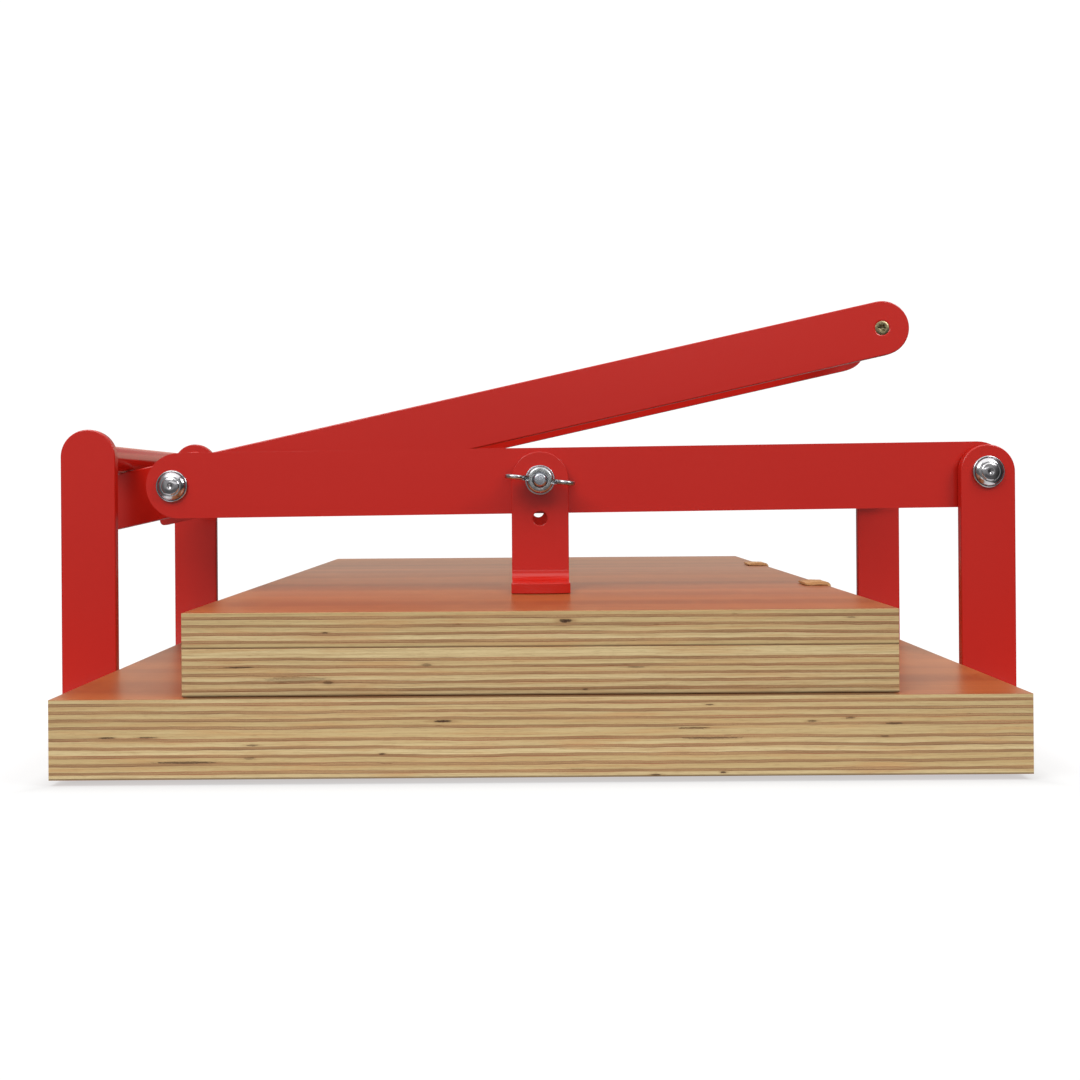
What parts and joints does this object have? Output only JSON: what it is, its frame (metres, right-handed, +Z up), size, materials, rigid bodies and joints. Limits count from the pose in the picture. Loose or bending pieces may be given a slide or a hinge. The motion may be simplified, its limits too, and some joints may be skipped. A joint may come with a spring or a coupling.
{
  "type": "bookbinding press",
  "caption": "Tabletop bookbinding press: plywood base and hinged pressing boards under lever-closed red steel arms with bent feet.",
  "frame": {"origin": "floor level under the centre of the base board", "axes": "+X from the lever's tail end towards the pivot posts, +Y from front to back, +Z up"},
  "size_m": [0.5774, 0.51, 0.2686],
  "materials": {
    "plywood": "birch plywood, sawn edges and brown film faces",
    "red_powder_coat": "glossy powder coat",
    "bright_steel": "bright zinc plated",
    "zinc_casting": "zinc plated casting",
    "chrome_cap": "polished",
    "yellow_zinc": "yellow passivated zinc",
    "tan_leather": "natural tan, matt",
    "black_rubber": "matt"
  },
  "bodies": {
    "frame": {"base_board": "plywood", "rubber_foot_front_left": "black_rubber", "rubber_foot_front_right": "black_rubber", "rubber_foot_rear_left": "black_rubber", "rubber_foot_rear_right": "black_rubber", "rubber_foot_screws": "bright_steel", "cross_bar_front": "red_powder_coat", "cross_bar_rear": "red_powder_coat", "cross_bar_screws": "bright_steel", "post_welds": "red_powder_coat", "post_front_left": "red_powder_coat", "post_front_right": "red_powder_coat", "post_rear_left": "red_powder_coat", "post_rear_right": "red_powder_coat", "fulcrum_tube": "red_powder_coat", "pivot_shaft": "bright_steel", "pivot_cap_front": "chrome_cap", "pivot_cap_rear": "chrome_cap", "pivot_washers": "bright_steel"},
    "arms": {"arm_front": "red_powder_coat", "arm_rear": "red_powder_coat", "arm_spacer_tube": "red_powder_coat", "lever_pin": "bright_steel", "lever_pin_cap_front": "chrome_cap", "lever_pin_cap_rear": "chrome_cap", "pin_spacer_front": "red_powder_coat", "pin_spacer_rear": "red_powder_coat", "press_foot_front": "red_powder_coat", "press_foot_rear": "red_powder_coat", "foot_bolt_front": "bright_steel", "foot_bolt_rear": "bright_steel", "foot_washer_front": "bright_steel", "foot_washer_rear": "bright_steel"},
    "lever": {"lever_side_front": "red_powder_coat", "lever_side_rear": "red_powder_coat", "lever_spacer_tube": "red_powder_coat", "tail_tie_bar": "red_powder_coat", "handle_rod": "red_powder_coat", "handle_screw_front": "yellow_zinc", "handle_screw_rear": "yellow_zinc"},
    "boards": {"lower_board": "plywood", "upper_board": "plywood", "hinge_strap_front": "tan_leather", "hinge_strap_rear": "tan_leather"},
    "nut_front": {"wing_nut_front": "zinc_casting"},
    "nut_rear": {"wing_nut_rear": "zinc_casting"}
  },
  "joints": [
    {"name": "arm_swing", "type": "hinge", "parent": "frame", "child": "arms", "pos_m": [0.2722, 0, 0.1552], "axis": [0, 1, 0], "range_deg": [0, 4]},
    {"name": "lever_swing", "type": "hinge", "parent": "arms", "child": "lever", "pos_m": [-0.2232, 0, 0.1498], "axis": [0, -1, 0], "range_deg": [0, 50]},
    {"name": "boards_slide", "type": "slide", "parent": "frame", "child": "boards", "axis": [0, -1, 0], "range_m": [0, 0.24]},
    {"name": "wing_nut_front_turn", "type": "hinge", "parent": "arms", "child": "nut_front", "pos_m": [0.0012, -0.1274, 0.152], "axis": [0, -1, 0], "continuous": true},
    {"name": "wing_nut_rear_turn", "type": "hinge", "parent": "arms", "child": "nut_rear", "pos_m": [0.0012, 0.1274, 0.152], "axis": [0, 1, 0], "continuous": true}
  ],
  "couplings": [
    {"joint": "arm_swing", "follows": "lever_swing", "ratio": 0.08}
  ]
}
